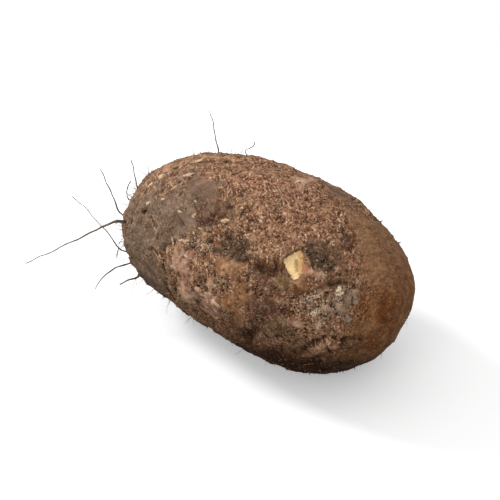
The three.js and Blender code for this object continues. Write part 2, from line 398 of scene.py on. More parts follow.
def lineGap(spots):
    # distance in mm from every grid point to a wandering line drawn over the skin between spots
    steps = np.linspace(0, len(spots) - 1, 8 * (len(spots) - 1) + 1)
    ends = np.array(spots, float)
    ends[:, 1] = np.degrees(np.unwrap(np.radians(ends[:, 1])))
    alongs, turns = (np.interp(steps, np.arange(len(spots)), ends[:, k]) for k in (0, 1))
    line = [form[spotAt(a, t % 360)] for a, t in zip(alongs, turns)]
    gap = np.full(form.shape[:2], 1e9)
    for start, end in zip(line, line[1:]):
        step = end - start
        share = np.clip((wandered - start) @ step / max(step @ step, 1e-12), 0, 1)
        gap = np.minimum(gap, np.linalg.norm(wandered - start - share[..., None] * step, axis=-1))
    return gap / mm


stray, strayCell = lineWander
wandered = np.stack([layeredNoise(form, strayCell, 2, 81 + k) for k in range(3)], axis=-1)
wandered = form + wandered * stray * mm
slowWave = layeredNoise(form, 20, 3, 90)
fields = {}  # each is a number at every grid point, most of them 0 to 1, that the materials read
patchRise = np.zeros(form.shape[:2])
for seed, (kind, (rise, spots)) in enumerate(skinPatches.items()):
    fields[kind], bell = patchFields(spots, 40 + 7 * seed)
    patchRise += rise * bell
tailEdge = np.interp(turnAt, *zip(*tailStart))
fields["tail"] = ease(alongAt - tailEdge + 0.03 * slowWave, -0.13, 0.10)
# painted light: the upward-facing part of the tail is made paler
fields["tailTop"] = ease(formOut[..., 2], 0.3, 0.95)
fields["head"] = ease(-alongAt + 0.10 * slowWave, 0.25, 0.60)
# painted shade: the underside is darkened as if in shadow, reaching higher along parts of its length and
# weaker on the back
reachAt = np.interp(alongAt, *zip(*undersideReach))
strength = undersideBack + (1 - undersideBack) * ease(-formOut[..., 1], -0.5, 0.3)
fields["under"] = strength * ease(0.2 * slowWave - formOut[..., 2] + reachAt, -0.15, 0.7)
foldGaps = [(depth, width, lineGap(spots)) for depth, width, spots in skinLines["folds"]]
fields["fold"] = np.max([depth * np.exp(-(gap / width) ** 2) for depth, width, gap in foldGaps], axis=0)
for kind in ("warm", "dots"):
    gaps = [lineGap(spots) / width for _, width, spots in skinLines[kind]]
    fields[kind] = np.max([np.exp(-gap ** 2) for gap in gaps], axis=0)
for height, width, spots in skinLines["rolls"]:
    patchRise += height * np.exp(-(lineGap(spots) / width) ** 2)
print("skin fields:", ", ".join(fields))


scar = {  # the broken spot, which shows the flesh
    "along": 0.557,
    "turn": 136.7,
    # its outline and its groove, in mm: lengthwise towards the tail, then round towards the top
    "outline": [
        (-7.8, -0.6), (-7.0, 2.1), (-4.7, 5.6), (-2.4, 8.4), (-0.3, 6.4), (2.2, 4.4), (4.9, 2.4),
        (7.3, 0.8), (7.9, -1.7), (5.8, -2.9), (4.8, -4.6), (4.2, -7.0), (2.6, -7.9), (-0.2, -6.7),
        (-3.2, -5.4), (-6.2, -3.5),
    ],
    "groove": [(-1.9, 1.5), (-0.6, 0.2), (1.9, -2.9)],
    "tailward": (0.86, 0.51),  # the direction, in the same two steps, across the groove
    "ragged": (0.6, 2.6),  # how uneven its edge is, and the cell of that noise, in mm
    "depth": 1.3,
    "rim": (0.3, 0.9, 0.8),  # height, distance out from the edge and width of the raised bark
    "fleshGrain": (0.3, 2.6),  # height and cell size
    "grooveSize": (0.5, 0.8),  # depth and width
}
relief = {
    # relief of the skin, in mm along the normals
    "swell": (1.0, 28),  # height and cell size, as for the next two
    "lump": (0.8, 9),
    "grain": (0.30, 2.6),
    "pimples": (420, 0.8, 1.25),  # how many, height and radius
    "pits": (240, 0.8, 1.0),
    "wrinkle": (0.30, 3.8),  # depth of the head's ring wrinkles and the step between them
    "crease": (0.75, 6.5),  # depth and cell size of the net of creases
    "creaseWidth": 0.17,  # as a share of the noise's height
    "crust": 0.6,  # height
    "collar": (1.0, 2.3),  # height and radius of the swelling round a root's foot
}
crown = {  # where the vine was attached
    "along": -0.99,
    "turn": 70,
    "reach": 9,
    "ring": (1.0, 7.5, 2.4),  # height, radius and width
    "pit": (1.6, 4),  # depth and radius
    "rough": (0.7, 2.8),  # height and cell size
}
cavity = {"passes": 9, "full": 0.5}  # how widely heights are smoothed, and a deep hollow in mm


def outlineGaps(x, y, outline, closed=True):
    # distance in mm to the nearest edge of an outline and, when it is closed, whether a point is
    # inside it: a line from the point crosses the edges an odd number of times
    nearest = np.full(x.shape, 1e9)
    inside = np.zeros(x.shape, bool)
    ends = outline[1:] + outline[:1] if closed else outline[1:]
    for (ax, ay), (bx, by) in zip(outline, ends):
        squared = (bx - ax) ** 2 + (by - ay) ** 2
        share = np.clip(((x - ax) * (bx - ax) + (y - ay) * (by - ay)) / squared, 0, 1)
        gap = np.hypot(x - ax - share * (bx - ax), y - ay - share * (by - ay))
        nearest = np.minimum(nearest, gap)
        reach = ax + (y - ay) * (bx - ax) / (by - ay + 1e-12)
        inside ^= ((ay > y) != (by > y)) & (x < reach)
    return nearest, inside


def scarFields():
    # how far inside the broken spot each point is, in mm, with an edge made ragged by noise; how
    # far it is from the groove; and how far it is to the tail side of the groove
    x, y, out = localPlace(spotAt(scar["along"], scar["turn"]))
    far = np.abs(out) > 15  # mm from its plane
    stray, cell = scar["ragged"]
    x = x + stray * layeredNoise(form, cell, 2, 61)
    y = y + stray * layeredNoise(form, cell, 2, 67)
    nearest, inside = outlineGaps(x, y, scar["outline"])
    depth = np.where(inside, nearest, -nearest)
    groove = outlineGaps(x, y, scar["groove"], closed=False)[0]
    tailX, tailY = scar["tailward"]
    return np.where(far, -40, depth), np.where(far, 40, groove), x * tailX + y * tailY


def scatteredBumps(count, height, size, seed, keep):
    # bell-shaped bumps at random grid points, each of its own height and width; keep says how
    # likely a place is to have one
    rng = np.random.default_rng(seed)
    area = np.linalg.norm(np.roll(form, -1, axis=1) - form, axis=-1) * keep
    chosen = rng.choice(area.size, count, p=(area / area.sum()).ravel())
    total = np.zeros(area.shape)
    for place, tall, wide in zip(chosen, rng.uniform(0.35, 1, count), rng.uniform(0.7, 1.35, count)):
        row, column = np.unravel_index(place, area.shape)
        rows = np.arange(max(row - 7, 0), min(row + 8, area.shape[0]))[:, None]
        reach = 7 + int(14 * abs(alongAt[row, column]) ** 6)  # columns crowd together at the poles
        columns = (column + np.arange(-reach, reach + 1)) % area.shape[1]
        gap = np.linalg.norm(form[rows, columns] - form[row, column], axis=-1) / (size * wide * mm)
        total[rows, columns] = np.maximum(total[rows, columns], height * tall * np.exp(-gap ** 2))
    return total


rootNames = sorted(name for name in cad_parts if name.startswith("root_"))


def meshPoints(thing, what="co"):
    # the places, or the normals, of a mesh's points as an array
    places = np.empty(len(thing.data.vertices) * 3, np.float32)
    thing.data.vertices.foreach_get(what, places)
    return places.reshape(-1, 3).astype(float)


def rootFoot(name):
    # the grid point nearest to where a CAD root meets the skin
    places = np.unique(meshPoints(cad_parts[name]).round(5), axis=0)
    sparse = form[::4, ::4].reshape(-1, 3)
    gaps = np.linalg.norm(places[:, None] - sparse[None], axis=-1)
    nearest = places[gaps.min(axis=1) < gaps.min() + 1.2 * mm].mean(axis=0)  # the foot's own ring
    return np.unravel_index(np.argmin(np.linalg.norm(form - nearest, axis=-1)), form.shape[:2])


rootFeet = {name: rootFoot(name) for name in rootNames}
fields["scar"], fields["groove"], fields["scarSide"] = scarFields()
crownGap = distanceTo(crown["along"], crown["turn"])
fields["crown"] = np.exp(-(crownGap / crown["reach"]) ** 4)
inScar = ease(fields["scar"], -0.2, 0.9)


def strongest(least, **shares):
    # at every grid point the largest of a least amount and of some fields times their shares
    return np.maximum.reduce([least] + [share * fields[kind] for kind, share in shares.items()])


def spared(amount, **shares):
    # an amount that each field takes its share away from
    for kind, share in shares.items():
        amount = amount * (1 - share * fields[kind])
    return amount


bareness = strongest(inScar, tail=0.9, amber=1, blush=1, rub=1)
calm = 1 - 0.75 * strongest(bareness, worn=1, ashen=0.75)  # how rough the bark may be
knobbly = strongest(
    np.full(inScar.shape, 0.1), coarse=0.5, hollow=0.7, mud=0.6, plum=0.5, blush=0.5, olive=0.5, amber=0.35,
    dusky=0.4, speckle=0.4, umber=0.4)
knobbly = spared(knobbly, tail=0.85, worn=0.6, ashen=0.75)  # how deeply creased the bark is
nearFloor = ease(form[..., 2] / mm, 0.4, 3.0)  # the flat patch that it lies on stays flat


def skinHeights():
    # the sum of the broad swells, patches, lumps and grain, the ring wrinkles of the head, bumps,
    # pits, folds, crust, the broken spot, the crown and a collar round each root
    height, cell = relief["swell"]
    total = height * layeredNoise(form, cell, 2, 5) + patchRise
    height, cell = relief["lump"]
    total += height * layeredNoise(form, cell, 3, 15) * (0.45 + 0.55 * calm)
    height, cell = relief["grain"]
    total += height * (layeredNoise(form * [1.5, 0.8, 0.8], cell, 2, 25) + 0.5 * noise(form, cell, 28)) * calm
    depth, step = relief["wrinkle"]
    ringPhase = form[..., 0] / mm / step + 0.8 * noise(form, 13, 31)
    ring = (1 - np.abs(np.sin(math.pi * ringPhase))) ** 2
    total -= depth * ring * (0.25 + fields["head"]) * ease(noise(form, 9, 33), -0.4, 0.4)
    total += scatteredBumps(*relief["pimples"], 3, 0.15 + calm)
    total -= scatteredBumps(*relief["pits"], 4, 0.1 + calm + fields["hollow"])
    broken = ease(noise(form, 6, 36), -0.75, -0.1)  # folds have gaps in them, and a raised lip
    for depth, width, gap in foldGaps:
        total -= depth * np.exp(-(gap / width) ** 2) * broken
        total += 0.4 * depth * np.exp(-((gap - 2.4 * width) / (1.5 * width)) ** 2)
    depth, cell = relief["crease"]
    for share in (1.0, 0.62):
        net = noise(wandered, cell * share, 57) + 0.25 * noise(form, 2.4, 58)
        total -= depth * share * np.exp(-(net / relief["creaseWidth"]) ** 2) * knobbly
    crusted = ease(fields["crust"] + 0.5 * layeredNoise(form, 4, 3, 47), 0.2, 0.9)
    total += relief["crust"] * crusted * (0.6 + 0.5 * noise(form, 3, 49))
    height, out, width = scar["rim"]
    total -= scar["depth"] * inScar - height * np.exp(-((fields["scar"] + out) / width) ** 2)
    height, cell = scar["fleshGrain"]
    depth, width = scar["grooveSize"]
    flesh = height * layeredNoise(form, cell, 2, 71) - depth * np.exp(-(fields["groove"] / width) ** 2)
    total += flesh * inScar
    height, radius, width = crown["ring"]
    total += height * np.exp(-((crownGap - radius) / width) ** 2)
    depth, radius = crown["pit"]
    total -= depth * np.exp(-(crownGap / radius) ** 2)
    height, cell = crown["rough"]
    total += height * layeredNoise(form, cell, 3, 75) * fields["crown"]
    height, radius = relief["collar"]
    for foot in rootFeet.values():
        gap = np.linalg.norm(form - form[foot], axis=-1) / mm / radius
        total += height * np.exp(-gap ** 2)
    return total * nearFloor


def smoothed(values, passes):
    # each pass sets every grid value to the mean of its four neighbours
    for _ in range(passes):
        longer = np.concatenate([values[:1], values, values[-1:]])
        values = (longer[:-2] + longer[2:] + np.roll(values, 1, axis=1) + np.roll(values, -1, axis=1)) / 4
    return values


heights = skinHeights()
# 1 in a narrow hollow, -1 on a narrow ridge
fields["cavity"] = np.clip((smoothed(heights, cavity["passes"]) - heights) / cavity["full"], -1, 1)
skin = form + formOut * heights[..., None] * mm
skin[..., 2] = np.maximum(skin[..., 2], 0)  # nothing goes below the floor
skinOut = gridNormals(skin)
print("skin relief:", round(float(heights.min()), 2), "to", round(float(heights.max()), 2), "mm")


def buildTuber():
    # one point at each pole, the rows between them, and quads closed round the tuber
    rows, around = skin.shape[:2]
    points = np.concatenate([skin[:1, 0], skin[1:-1].reshape(-1, 3), skin[-1:, 0]])
    number = 1 + np.arange((rows - 2) * around).reshape(rows - 2, around)
    beside = np.roll(number, -1, axis=1)
    quads = np.stack([number[:-1], beside[:-1], beside[1:], number[1:]], axis=-1).reshape(-1, 4)
    last = len(points) - 1
    headFan = np.stack([np.zeros(around, int), beside[0], number[0]], axis=-1)
    tailFan = np.stack([np.full(around, last), number[-1], beside[-1]], axis=-1)
    packed = {
        name: np.concatenate([values[:1, 0], values[1:-1].ravel(), values[-1:, 0]])
        for name, values in fields.items()
    }
    return makePiece("tuber_skin", points, [np.concatenate([headFan, tailFan]), quads], packed)


tuber = buildTuber()
print("tuber skin:", len(tuber.data.polygons), "faces")


def spindles(name, paths, across, upward, widths, thicknesses, sides, tint):
    # closed tapered bodies carried along paths. The first and last stations of a path are single
    # points, and each one between has a ring: its points reach half a width along `across` and
    # half a thickness along `upward`, at even angles with one of them straight up
    count, stations = paths.shape[:2]
    rings = stations - 2
    angle = math.pi / 2 + 2 * math.pi * np.arange(sides) / sides
    ring = (
        paths[:, 1:-1, None]
        + across[:, 1:-1, None] * (np.cos(angle)[:, None] * widths[:, :, None, None] / 2)
        + upward[:, 1:-1, None] * (np.sin(angle)[:, None] * thicknesses[:, :, None, None] / 2)
    )
    body = np.concatenate([paths[:, :1], ring.reshape(count, rings * sides, 3), paths[:, -1:]], axis=1)
    number = 1 + np.arange(rings * sides).reshape(rings, sides)
    beside = np.roll(number, -1, axis=1)
    start = np.stack([np.zeros(sides, int), beside[0], number[0]], axis=-1)
    end = np.stack([np.full(sides, rings * sides + 1), number[-1], beside[-1]], axis=-1)
    wall = np.stack([number[:-1], beside[:-1], beside[1:], number[1:]], axis=-1).reshape(-1, 4)
    shift = np.arange(count)[:, None, None] * body.shape[1]
    faceSets = [(np.concatenate([start, end])[None] + shift).reshape(-1, 3)]
    if len(wall):
        faceSets.append((wall[None] + shift).reshape(-1, 4))
    tints = np.repeat(tint, body.shape[1])
    return makePiece(name, body.reshape(-1, 3), faceSets, {"tint": tints})


def onGrid(values, row, column):
    # reads a grid between its points, by blending the four round each place
    row = np.clip(row, 0, values.shape[0] - 1.001)
    column = column % values.shape[1]
    top = row.astype(int)
    left = column.astype(int)
    right = (left + 1) % values.shape[1]
    down = (row - top)[..., None]
    over = (column - left)[..., None]
    upper = values[top, left] * (1 - over) + values[top, right] * over
    lower = values[top + 1, left] * (1 - over) + values[top + 1, right] * over
    return upper * (1 - down) + lower * down


cellLong = np.linalg.norm(np.gradient(form, axis=0), axis=-1) / mm
cellRound = np.linalg.norm(np.roll(form, -1, axis=1) - form, axis=-1) / mm
cellArea = cellLong * cellRound


def randomSpots(rng, count, density):
    # grid places drawn at random, as likely as their area times the density asks
    weight = (cellArea * density).ravel()
    chosen = rng.choice(weight.size, count, p=weight / weight.sum())
    row, column = np.unravel_index(chosen, cellArea.shape)
    return row + rng.uniform(-0.5, 0.5, count), column + rng.uniform(-0.5, 0.5, count)


shredPiece = {
    "count": 9600,
    "length": (1.6, 3.9),  # mm
    "width": (0.38, 0.70),
    "thickness": (0.36, 0.62),
    "turn": 140,  # degrees from the lengthwise direction, on most of the skin
    "tailTurn": 95,
    "spread": 26,
    "bend": 0.12,
    "fullness": (0.8, 1.0, 0.7),  # shares of the width at the three rings
}


def skinShreds():
    # flat fibres of bark that lie on the skin: each follows the grid in its own direction, with a
    # slight bend, and is widest in the middle
    rng = np.random.default_rng(21)
    count = shredPiece["count"]
    bare = strongest(
        inScar, tail=1, amber=0.9, blush=0.9, sienna=1, mud=0.85, hollow=0.85, crust=1, dusky=0.5, olive=0.5,
        umber=0.6, plum=0.6)
    density = spared(1 - bare, worn=0.9, ashen=0.8, head=0.55, under=0.8)
    density = density * (0.45 + 1.5 * fields["coarse"] + 0.5 * ease(slowWave, -0.5, 0.5))
    density = (density + 0.05) * (1 - inScar) * ease(form[..., 2] / mm, 1, 6) * (np.abs(alongAt) < 0.985)
    row, column = randomSpots(rng, count, density)
    here = (np.clip(row.astype(int), 1, form.shape[0] - 2), column.astype(int) % form.shape[1])
    tailward = ease((alongAt - tailEdge)[here], -0.3, 0.1)
    turn = np.where(tailward > 0.5, shredPiece["tailTurn"], shredPiece["turn"])
    turn = np.radians(turn + rng.normal(0, shredPiece["spread"], count))
    length = rng.uniform(*shredPiece["length"], count) * rng.uniform(0.5, 1, count)
    station = np.linspace(-0.5, 0.5, 5)[None] * length[:, None]
    side = (station ** 2 - (length[:, None] / 2) ** 2) * rng.normal(0, shredPiece["bend"], count)[:, None]
    cosine, sine = np.cos(turn)[:, None], np.sin(turn)[:, None]
    downSteps = (station * cosine - side * sine) / cellLong[here][:, None]
    overSteps = (station * sine + side * cosine) / cellRound[here][:, None]
    paths = onGrid(skin, row[:, None] + downSteps, column[:, None] + overSteps)
    upward = unit(onGrid(skinOut, row[:, None] + downSteps, column[:, None] + overSteps))
    across = unit(np.cross(upward, np.gradient(paths, axis=1)))
    fullness = np.array(shredPiece["fullness"])[None]
    widths = rng.uniform(*shredPiece["width"], count)[:, None] * fullness * mm
    thick = rng.uniform(*shredPiece["thickness"], count)[:, None] * fullness * mm
    soilAndShade = strongest(fields["under"], mud=1, hollow=1, umber=1, dusky=1)[here]
    tint = rng.uniform(0, 1, count) - 0.5 * soilAndShade  # darker where the bark is soiled, and in the painted shade of the underside and the dents
    return spindles("skin_shreds", paths, across, upward, widths, thick, 3, tint)


shreds = skinShreds()
print("skin shreds:", len(shreds.data.polygons), "faces")


def bentPaths(rng, starts, directions, lengths, stations, bend, wobble):
    # paths that leave their start along a direction, swing aside with the square of the distance,
    # and wander a little; also the two directions across each path
    share = np.linspace(0, 1, stations)[None, :, None]
    aside = unit(np.cross(directions, rng.normal(size=directions.shape)))
    paths = starts[:, None] + directions[:, None] * share * lengths[:, None, None]
    paths = paths + aside[:, None] * share ** 2 * (lengths * bend)[:, None, None]
    drift = np.cumsum(rng.normal(0, 1, paths.shape), axis=1) * share
    paths = paths + drift * (lengths * wobble)[:, None, None]
    heading = unit(np.gradient(paths, axis=1))
    across = unit(np.cross(heading, aside[:, None] + 0 * paths))
    return paths, across, unit(np.cross(across, heading))


# lengths and thicknesses in mm; bend and wobble are shares of the length. The last dictionary is
# shared: how far a heading strays from straight out, the foot's depth and the least height over
# the floor in mm, and the tip's share of the foot's thickness
stubPiece = {
    "count": 230, "length": (0.9, 3.0), "thickness": (0.45, 0.95), "stations": 5, "bend": 0.3, "wobble": 0.03,
}
hairPiece = {
    "count": 420, "length": (1.5, 6.5), "thickness": (0.13, 0.24), "stations": 7, "bend": 0.5, "wobble": 0.05,
}
rootletPiece = {
    "count": 60, "length": (5, 16), "thickness": (0.24, 0.4), "stations": 12, "bend": 0.7, "wobble": 0.03,
}
hairStand = {"slant": 0.45, "sunk": 0.4, "lowest": 0.3, "tip": 0.45}


def standingHairs(name, settings, seed, density):
    # broken root stubs, hairs or rootlets that stand out of the skin at a slant: thin tapered
    # spindles along bent paths, each with its foot sunk in the skin
    rng = np.random.default_rng(seed)
    count, stations, bend, wobble = (settings[key] for key in ("count", "stations", "bend", "wobble"))
    row, column = randomSpots(rng, count, density)
    foot = onGrid(skin, row, column)
    out = unit(onGrid(skinOut, row, column))
    heading = unit(out + rng.normal(0, hairStand["slant"], out.shape))
    length = rng.uniform(*settings["length"], count) * mm
    start = foot - out * hairStand["sunk"] * mm
    paths, across, upward = bentPaths(rng, start, heading, length, stations, bend, wobble)
    paths[..., 2] = np.maximum(paths[..., 2], hairStand["lowest"] * mm)
    taper = np.linspace(1, hairStand["tip"], stations - 2)[None]
    thick = rng.uniform(*settings["thickness"], count)[:, None] * taper * mm
    return spindles(name, paths, across, upward, thick, thick, 4, rng.uniform(0, 1, count))


clear = (1 - inScar) * ease(form[..., 2] / mm, 4, 10)
stubs = standingHairs("root_stubs", stubPiece, 31, clear * (0.3 + calm))
hairs = standingHairs("skin_hairs", hairPiece, 37, clear * (0.15 + 2 * fields["head"]))
headEnd = ease(-alongAt, 0.55, 0.9) * ease(-formOut[..., 1], -0.6, 0.6)
rootlets = standingHairs("rootlets", rootletPiece, 39, clear * (0.03 + headEnd))
print("stubs and hairs:", sum(len(piece.data.polygons) for piece in (stubs, hairs, rootlets)), "faces")


crumbPiece = {"count": 1200, "size": (0.35, 1.1), "power": 1.5}  # in mm, then raised to the power


def soilCrumbs():
    # squashed grains of dried soil and grit, half sunk in the skin
    rng = np.random.default_rng(43)
    count = crumbPiece["count"]
    density = 0.05 + fields["mud"] + fields["crust"] + 3.0 * fields["speckle"] + 0.1 * fields["head"]
    density = spared(density * (1 - inScar), tail=0.8) * ease(form[..., 2] / mm, 1, 5)
    row, column = randomSpots(rng, count, density)
    foot = onGrid(skin, row, column)
    out = unit(onGrid(skinOut, row, column))
    size = rng.uniform(*crumbPiece["size"], count) ** crumbPiece["power"] * mm
    axis = unit(np.cross(out, rng.normal(size=out.shape)))
    share = np.array([-0.5, -0.25, 0.25, 0.5])[None, :, None]
    scale = size[:, None, None]
    paths = foot[:, None] + out[:, None] * 0.1 * scale + axis[:, None] * share * scale
    across = np.repeat(unit(np.cross(out, axis))[:, None], 4, axis=1)
    upward = np.repeat(out[:, None], 4, axis=1)
    widths = size[:, None] * rng.uniform(0.6, 1.0, (count, 2))
    thick = size[:, None] * rng.uniform(0.5, 0.9, (count, 2))
    # the crumbs are darker in the underside's painted shade
    paler = (0.4 * fields["speckle"] - 0.8 * fields["under"])[..., None]
    tint = rng.uniform(0, 1, count) * 0.6 + onGrid(paler, row, column)[:, 0]
    return spindles("soil_crumbs", paths, across, upward, widths, thick, 5, tint)


crumbs = soilCrumbs()
print("soil crumbs:", len(crumbs.data.polygons), "faces")


# feeder roots: the CAD roots, slimmed, rounded, roughened and seated in the skin
rootFinish = {
    "levels": 2,
    "widest": 3.3,  # mm, a little over the thickest root's diameter
    "slim": 0.33,  # times the radius squared, is taken off the radius
    "sway": (0.7, 6, 2, 9),  # reach and cell size, then where from the foot it starts and is full
    "rough": (0.07, 1.5, 0, 3),
    "seat": (0.9, 1.3),  # how far a foot sinks into the skin, and how far along that is felt
    "greyTip": 14,  # how far from the foot the bark is at its palest
}


def feederRoot(name):
    # a merged copy of the CAD root, slimmed and then subdivided. The root's radius at a point is
    # half the depth, along the normal, of the other points near it, and the point moves in by a
    # share of the radius squared. After that a slow noise sways the root, less towards the foot,
    # a fine noise along the normals roughens it, and the foot sinks into the skin
    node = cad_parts[name]
    shell = bmesh.new()
    shell.from_mesh(node.data)
    bmesh.ops.remove_doubles(shell, verts=shell.verts, dist=0.01 * mm)
    mesh = bpy.data.meshes.new(name + "_bark")
    shell.to_mesh(mesh)
    shell.free()
    piece = bpy.data.objects.new(name + "_bark", mesh)
    coarse = meshPoints(piece)
    outward = meshPoints(piece, "normal")
    apart = coarse[:, None] - coarse[None]
    across = (apart * outward[:, None]).sum(axis=-1)
    across[np.linalg.norm(apart, axis=-1) > rootFinish["widest"] * mm] = 0
    radius = across.max(axis=1) / 2 / mm
    coarse -= outward * (rootFinish["slim"] * radius ** 2)[:, None] * mm
    mesh.vertices.foreach_set("co", coarse.astype(np.float32).ravel())
    bpy.context.scene.collection.objects.link(piece)
    rounding = piece.modifiers.new("rounding", "SUBSURF")
    rounding.levels = rounding.render_levels = rootFinish["levels"]
    graph = bpy.context.evaluated_depsgraph_get()
    smooth = bpy.data.meshes.new_from_object(piece.evaluated_get(graph))
    piece.modifiers.clear()
    piece.data = smooth
    bpy.data.meshes.remove(mesh)
    places = meshPoints(piece)
    normals = meshPoints(piece, "normal")
    foot = form[rootFeet[name]]
    gap = np.linalg.norm(places - foot, axis=-1) / mm
    reach, cell, start, full = rootFinish["sway"]
    sway = np.stack([noise(places, cell, 100 + k) for k in range(3)], axis=-1)
    moved = places + sway * (reach * ease(gap, start, full))[:, None] * mm
    reach, cell, start, full = rootFinish["rough"]
    rough = layeredNoise(places, cell, 2, 110)
    moved += normals * (reach * rough * ease(gap, start, full))[:, None] * mm
    depth, felt = rootFinish["seat"]
    moved -= formOut[rootFeet[name]] * (depth * np.exp(-(gap / felt) ** 2))[:, None] * mm
    smooth.vertices.foreach_set("co", moved.astype(np.float32).ravel())
    smooth.polygons.foreach_set("use_smooth", np.ones(len(smooth.polygons), bool))
    layer = smooth.attributes.new("tint", "FLOAT", "POINT")
    layer.data.foreach_set("value", ease(gap, 0, rootFinish["greyTip"]).astype(np.float32))
    smooth.materials.clear()
    smooth.update()
    return piece


feederRoots = {name: feederRoot(name) for name in rootNames}
print("feeder roots:", sum(len(root.data.polygons) for root in feederRoots.values()), "faces")


def newMaterial(name):
    made = bpy.data.materials.new(name)
    made.use_nodes = True
    made.node_tree.nodes.clear()
    return made


# each finish of the skin: how strongly it covers, the pattern that mottles it, then its middle,
# dark and pale tone
skinTones = {
    "rosy": (0.75, "mottle", "#96674e", "#6d4332", "#b6866b"),
    "head": (0.65, "mottle", "#785f4e", "#5b4635", "#957963"),
    "ashen": (0.9, "mottle", "#776453", "#5e4d3d", "#97806f"),
    # partly a painted highlight on the lit ridges of the rolls
    "warm": (0.85, "mottle", "#9a7559", "#6d4932", "#bf9771"),
    "dusky": (0.72, "mottle", "#624b39", "#443122", "#81674f"),
    "plum": (0.8, "mottle", "#54382c", "#36231a", "#745446"),
    "coarse": (0.55, "mottle", "#875e3f", "#573720", "#cea178"),
    "olive": (0.75, "mottle", "#7d6345", "#503d25", "#a58a64"),
    "speckle": (0.7, "mottle", "#705242", "#402d21", "#b5927e"),
    "worn": (0.7, "mottle", "#7a6151", "#5e4c3f", "#967c6a"),
    "sienna": (1.0, "patch", "#6f4325", "#5b3519", "#845535"),
    # partly painted light: pale low on the front flank, as if lit by bounced light
    "blush": (0.85, "wander", "#ba9078", "#84594a", "#e6c6ae"),
    "amber": (0.9, "wander", "#946845", "#68452c", "#bd936f"),
    "tail": (1.0, "patch", "#8c5f3b", "#764a27", "#a07249"),
    "ember": (0.8, "mottle", "#a9674a", "#8a4a30", "#c08566"),
    "rust": (0.8, "patch", "#7e481f", "#653611", "#915f2f"),
    "umber": (0.75, "patch", "#482d1e", "#2a190f", "#61432e"),
    "mud": (0.82, "mottle", "#4e3b2e", "#31261d", "#766453"),
    # dents, with painted shade
    "hollow": (0.85, "mottle", "#5c3d28", "#3b2415", "#7a5638"),
    "crust": (0.85, "wander", "#826855", "#4a382d", "#b89e8b"),
}


